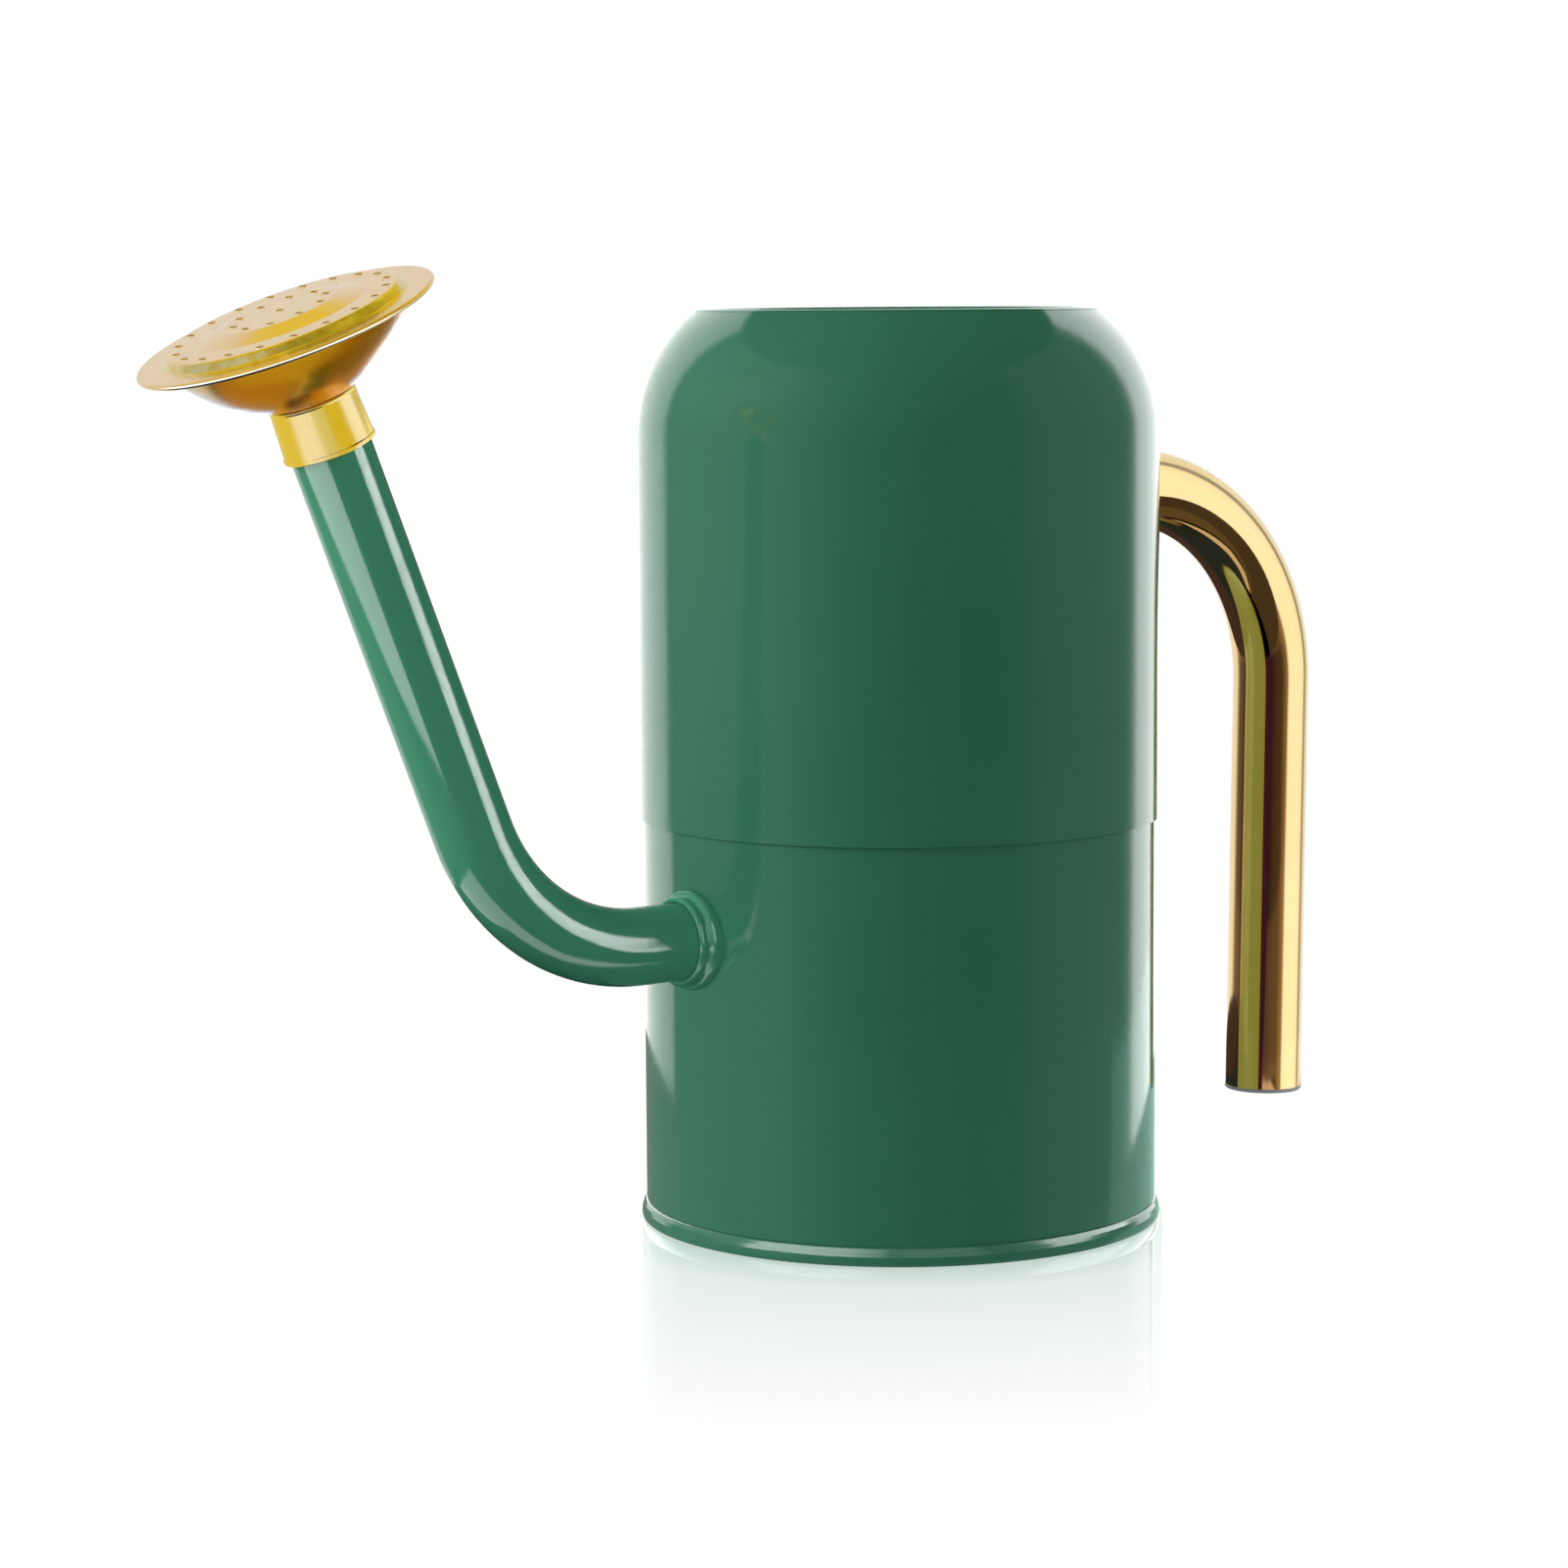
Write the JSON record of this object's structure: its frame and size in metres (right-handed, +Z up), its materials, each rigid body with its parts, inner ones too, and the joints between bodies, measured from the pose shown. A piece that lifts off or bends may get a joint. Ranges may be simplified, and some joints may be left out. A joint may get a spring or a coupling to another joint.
{
  "type": "watering can",
  "caption": "Round painted metal watering can with a bent spout, a lift-off brass sprinkler rose and a cane-shaped tube handle fixed at its top.",
  "frame": {"origin": "centre of the base, on the can's axis at the floor", "axes": "+Z up the can's axis, -X towards the spout, +X towards the handle"},
  "size_m": [0.3764, 0.1432, 0.2605],
  "materials": {
    "green_enamel": "gloss",
    "brass_face": "satin",
    "brass_bowl": "satin",
    "brass_socket": "brushed",
    "gold_tube": "polished",
    "zinc_steel": "satin",
    "black_rubber": "matte",
    "grey_plastic": "satin"
  },
  "bodies": {
    "can": {"upper_shell": "green_enamel", "rim_wire": "zinc_steel", "lower_shell": "green_enamel", "base_pan": "green_enamel", "spout_tube": "green_enamel", "spout_flange": "green_enamel", "spout_gasket": "black_rubber", "spout_sleeve": "zinc_steel", "spout_saddle_washer": "grey_plastic", "spout_lock_nut": "zinc_steel", "handle_tube": "gold_tube", "handle_end_plug": "grey_plastic", "handle_saddle": "gold_tube", "handle_gasket": "black_rubber", "handle_insert": "zinc_steel", "handle_backing_plate": "zinc_steel", "handle_lock_washers": "zinc_steel", "handle_screws": "zinc_steel"},
    "rose_seal": {"rose_washer": "black_rubber"},
    "rose": {"rose_collar": "brass_socket", "rose_bowl": "brass_bowl", "rose_face": "brass_face"}
  },
  "joints": [
    {"name": "rose_pull", "type": "slide", "parent": "can", "child": "rose_seal", "axis": [-0.3746, 0, 0.9272], "range_m": [0, 0.04]},
    {"name": "rose_turn", "type": "hinge", "parent": "rose_seal", "child": "rose", "pos_m": [-0.18301, 0, 0.22618], "axis": [-0.3746, 0, 0.9272], "continuous": true}
  ]
}
